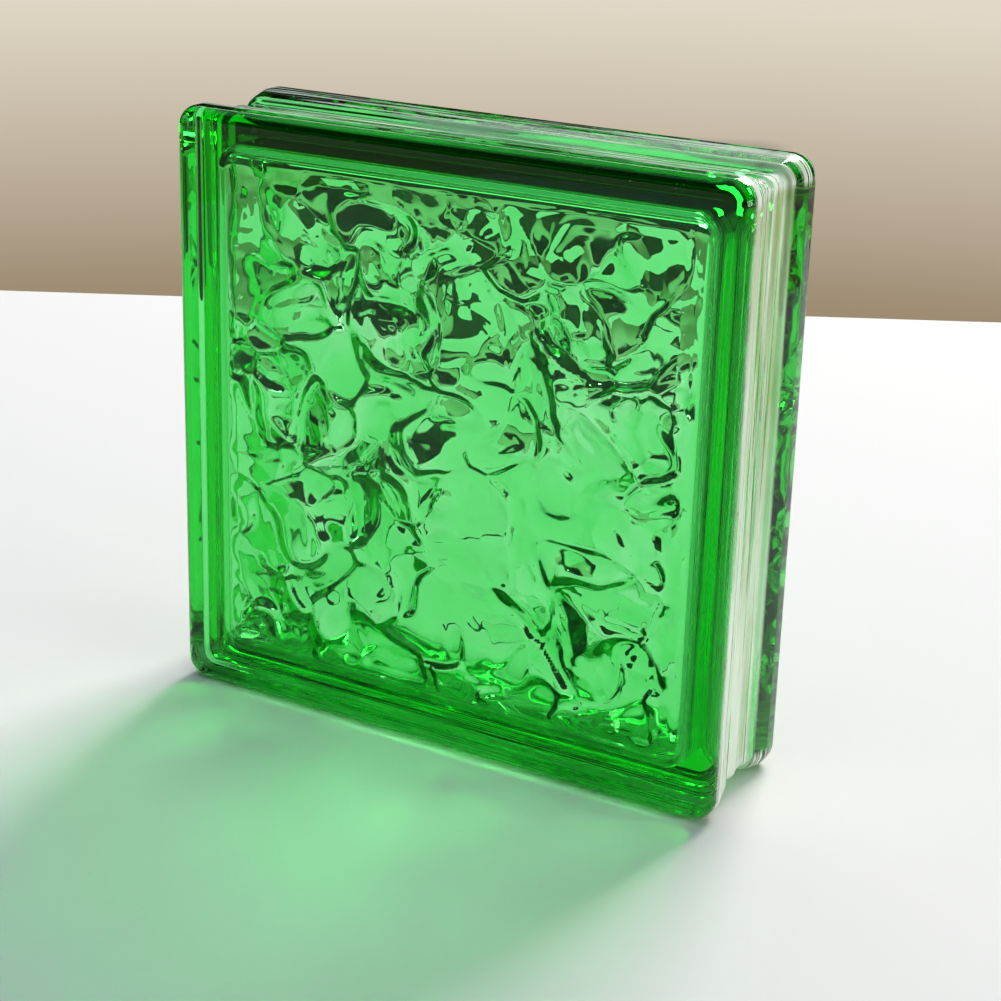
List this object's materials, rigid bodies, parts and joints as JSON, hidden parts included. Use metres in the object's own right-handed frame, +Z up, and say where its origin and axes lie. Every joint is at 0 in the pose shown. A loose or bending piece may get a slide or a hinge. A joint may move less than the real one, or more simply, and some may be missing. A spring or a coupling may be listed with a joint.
{
  "type": "glass block",
  "caption": "Square hollow glass building block in clear green glass, with a rippled inner surface and a mortar channel round its edges.",
  "frame": {"origin": "centre of the block's footprint, on the floor that it stands on", "axes": "+Z up, +X across the face to the right as seen from the front, +Y from the front face to the back one"},
  "size_m": [0.19, 0.05, 0.19],
  "materials": {
    "green_glass": "polished, tinted green right through"
  },
  "bodies": {
    "root": {"glass_block": "green_glass"}
  },
  "joints": []
}
